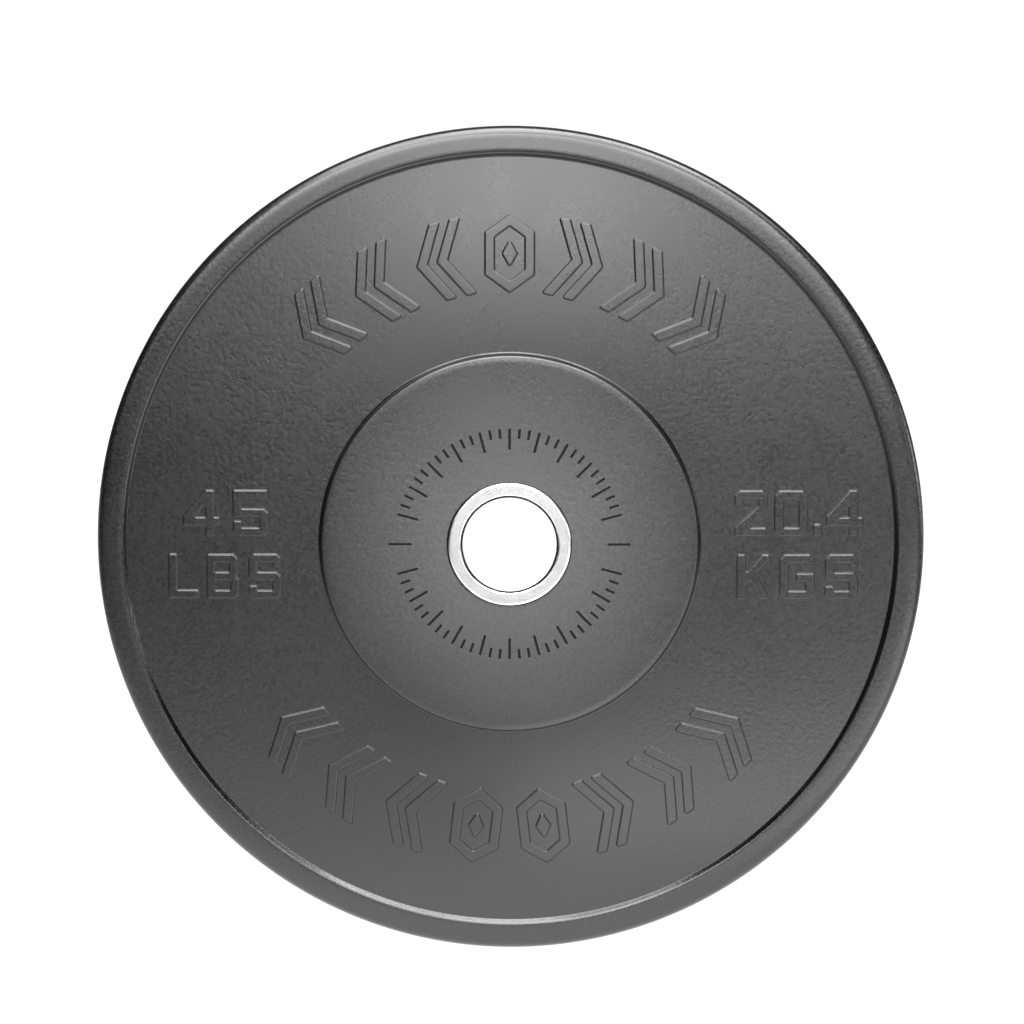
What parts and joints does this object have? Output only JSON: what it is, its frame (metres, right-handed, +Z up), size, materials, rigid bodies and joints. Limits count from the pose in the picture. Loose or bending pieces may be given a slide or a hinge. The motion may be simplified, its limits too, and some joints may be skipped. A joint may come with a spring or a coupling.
{
  "type": "bumper plate",
  "caption": "Round moulded rubber weight plate with a raised hub, low rim and flat tread, around a steel insert bored for an Olympic bar sleeve.",
  "frame": {"origin": "middle of the bore, halfway between the two face rings; the plate stands upright on its tread", "axes": "+Z up, the bore runs along Y, the front face looks along -Y"},
  "size_m": [0.45, 0.086, 0.45],
  "materials": {
    "rubber": "black vulcanised rubber, fine mould grain, semi-matt",
    "stainless": "turned and polished stainless steel",
    "mild_steel": "bare mild steel, hidden in the rubber"
  },
  "bodies": {
    "root": {"rubber_body": "rubber", "front_face_ring": "stainless", "back_face_ring": "stainless", "bore_liner": "stainless", "core_tube": "mild_steel", "front_anchor_flange": "mild_steel", "back_anchor_flange": "mild_steel"}
  },
  "joints": []
}
